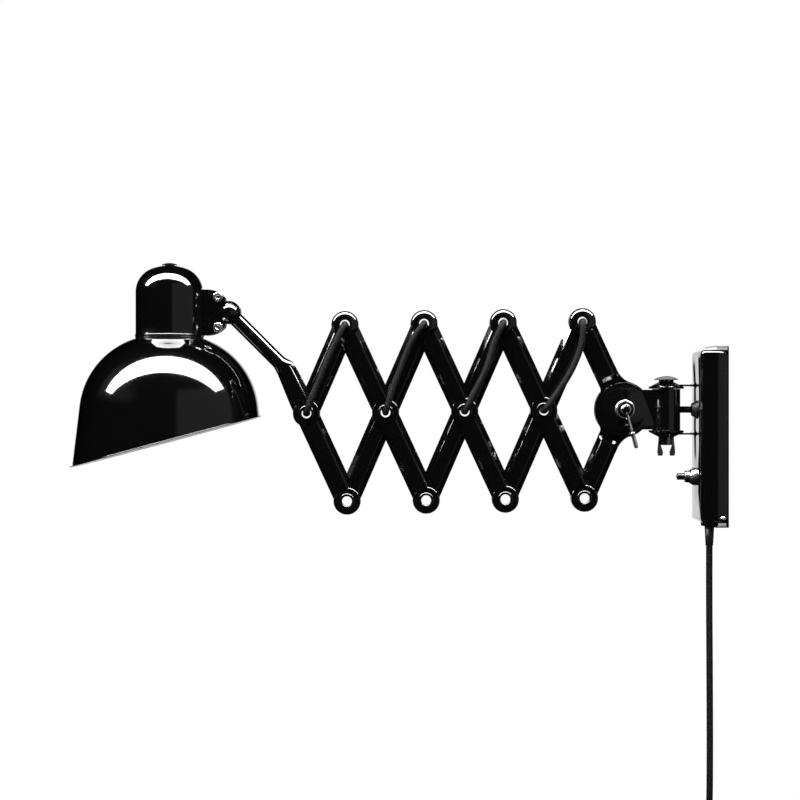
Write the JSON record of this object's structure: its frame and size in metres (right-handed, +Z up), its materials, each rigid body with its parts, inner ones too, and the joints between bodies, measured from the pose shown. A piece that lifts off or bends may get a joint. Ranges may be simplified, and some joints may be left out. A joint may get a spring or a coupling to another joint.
{
  "type": "adjustable wall lamp",
  "caption": "Wall lamp on a scissor arm: wall plate with cover and switch, swivel and tilt hub, pantograph links, ball joint, domed lamp housing and oblique shade, flex and mains cord.",
  "frame": {"origin": "centre of the wall plate's back face, on the wall", "axes": "+X into the wall, the arm reaches out towards -X, +Z up, the hub's spring and lever on the -Y side"},
  "size_m": [0.6974, 0.2046, 0.7655],
  "materials": {
    "black_lacquer": "gloss",
    "chrome": "polished",
    "plain_steel": "satin",
    "black_rubber": "matte",
    "black_plastic": "gloss",
    "pale_plastic": "matte",
    "black_fabric": "woven sleeve",
    "frosted_glass": "frosted"
  },
  "bodies": {
    "wall_unit": {"back_plate": "black_lacquer", "cover": "black_lacquer", "cover_screws": "chrome", "flex_grommet": "black_rubber", "switch_barrel": "chrome", "switch_body": "black_plastic", "terminal_block": "pale_plastic", "cord_gland": "black_plastic", "wall_bracket": "black_lacquer", "swivel_bolt": "chrome", "mains_cord": "black_fabric", "cord_coil": "black_fabric", "coil_tie": "black_plastic", "plug_body": "black_plastic", "plug_pins": "chrome"},
    "wing_nut": {"wing_nut": "chrome"},
    "switch_button": {"switch_button": "black_plastic"},
    "swivel_knuckle": {"knuckle": "black_lacquer", "hub_bolt": "black_lacquer", "hub_spring": "chrome", "wall_flex": "black_fabric"},
    "clamp_lever": {"clamp_lever": "chrome"},
    "upper_link": {"link_upper": "black_lacquer", "flex_back_hub": "black_fabric", "hub_bushes": "plain_steel"},
    "lower_link": {"link_lower": "black_lacquer", "rivet_lower": "black_lacquer"},
    "rear_4": {"link_rear_4": "black_lacquer", "rivets_4": "black_lacquer", "flex_front_4": "black_fabric"},
    "rear_3": {"link_rear_3": "black_lacquer", "rivets_3": "black_lacquer", "flex_front_3": "black_fabric"},
    "rear_2": {"link_rear_2": "black_lacquer", "rivets_2": "black_lacquer", "flex_front_2": "black_fabric"},
    "rear_1": {"link_rear_1": "black_lacquer", "rivets_1": "black_lacquer", "flex_front_1": "black_fabric"},
    "front_4": {"link_front_4": "black_lacquer", "flex_back_4": "black_fabric"},
    "front_3": {"link_front_3": "black_lacquer", "flex_back_3": "black_fabric"},
    "front_2": {"link_front_2": "black_lacquer", "flex_back_2": "black_fabric"},
    "long_arm": {"long_arm": "black_lacquer", "arm_tube": "black_lacquer", "arm_flex": "black_fabric"},
    "ball": {"ball": "plain_steel"},
    "head": {"clamp_plate_front": "black_lacquer", "clamp_plate_rear": "black_lacquer", "clamp_screws": "chrome", "dome_housing": "black_lacquer", "dome_knob": "black_lacquer", "shade": "black_lacquer", "shade_ring": "black_lacquer", "lampholder": "black_plastic", "bulb": "frosted_glass", "head_flex": "black_fabric"}
  },
  "joints": [
    {"name": "swivel", "type": "hinge", "parent": "wall_unit", "child": "swivel_knuckle", "pos_m": [-0.0613, 0, 0.0283], "axis": [0, 0, 1], "range_deg": [-75, 75], "deforming": ["wall_flex"]},
    {"name": "arm_tilt", "type": "hinge", "parent": "swivel_knuckle", "child": "upper_link", "pos_m": [-0.1079, 0, 0.0284], "axis": [0, 1, 0], "range_deg": [-30, 30]},
    {"name": "scissor_extend", "type": "hinge", "parent": "upper_link", "child": "rear_4", "pos_m": [-0.15119, 0, 0.12186], "axis": [0, 1, 0], "range_deg": [-21, 68]},
    {"name": "link_lower_hub", "type": "hinge", "parent": "upper_link", "child": "lower_link", "pos_m": [-0.1079, 0, 0.0284], "axis": [0, 1, 0], "range_deg": [-21, 68]},
    {"name": "pivot_mid_4", "type": "hinge", "parent": "rear_4", "child": "front_4", "pos_m": [-0.19219, 0, 0.02737], "axis": [0, 1, 0], "range_deg": [-68, 21]},
    {"name": "pivot_top_3", "type": "hinge", "parent": "front_4", "child": "rear_3", "pos_m": [-0.23549, 0, 0.12083], "axis": [0, 1, 0], "range_deg": [-21, 68]},
    {"name": "pivot_mid_3", "type": "hinge", "parent": "rear_3", "child": "front_3", "pos_m": [-0.27649, 0, 0.02634], "axis": [0, 1, 0], "range_deg": [-68, 21]},
    {"name": "pivot_top_2", "type": "hinge", "parent": "front_3", "child": "rear_2", "pos_m": [-0.31978, 0, 0.1198], "axis": [0, 1, 0], "range_deg": [-21, 68]},
    {"name": "pivot_mid_2", "type": "hinge", "parent": "rear_2", "child": "front_2", "pos_m": [-0.36078, 0, 0.02531], "axis": [0, 1, 0], "range_deg": [-68, 21]},
    {"name": "pivot_top_1", "type": "hinge", "parent": "front_2", "child": "rear_1", "pos_m": [-0.40408, 0, 0.11877], "axis": [0, 1, 0], "range_deg": [-21, 68]},
    {"name": "pivot_mid_1", "type": "hinge", "parent": "rear_1", "child": "long_arm", "pos_m": [-0.44507, 0, 0.02428], "axis": [0, 1, 0], "range_deg": [-68, 21]},
    {"name": "ball_turn", "type": "hinge", "parent": "long_arm", "child": "ball", "pos_m": [-0.52766, 0.0026, 0.13185], "axis": [-0.7071, 0, 0.7071], "range_deg": [-45, 45]},
    {"name": "shade_tilt", "type": "hinge", "parent": "ball", "child": "head", "pos_m": [-0.52766, 0.0026, 0.13185], "axis": [0, 1, 0], "range_deg": [-8, 60]},
    {"name": "clamp_lever", "type": "hinge", "parent": "swivel_knuckle", "child": "clamp_lever", "pos_m": [-0.1079, 0, 0.0284], "axis": [0, 1, 0], "range_deg": [-25, 25]},
    {"name": "wing_nut", "type": "hinge", "parent": "wall_unit", "child": "wing_nut", "pos_m": [-0.0613, 0, -0.01], "axis": [0, 0, 1], "continuous": true},
    {"name": "switch_button", "type": "slide", "parent": "wall_unit", "child": "switch_button", "axis": [1, 0, 0], "range_m": [0, 0.003], "stiffness_N_per_m": 400}
  ],
  "couplings": [
    {"joint": "link_lower_hub", "follows": "scissor_extend", "ratio": 1},
    {"joint": "pivot_mid_4", "follows": "scissor_extend", "ratio": -1},
    {"joint": "pivot_top_3", "follows": "scissor_extend", "ratio": 1},
    {"joint": "pivot_mid_3", "follows": "scissor_extend", "ratio": -1},
    {"joint": "pivot_top_2", "follows": "scissor_extend", "ratio": 1},
    {"joint": "pivot_mid_2", "follows": "scissor_extend", "ratio": -1},
    {"joint": "pivot_top_1", "follows": "scissor_extend", "ratio": 1},
    {"joint": "pivot_mid_1", "follows": "scissor_extend", "ratio": -1}
  ]
}
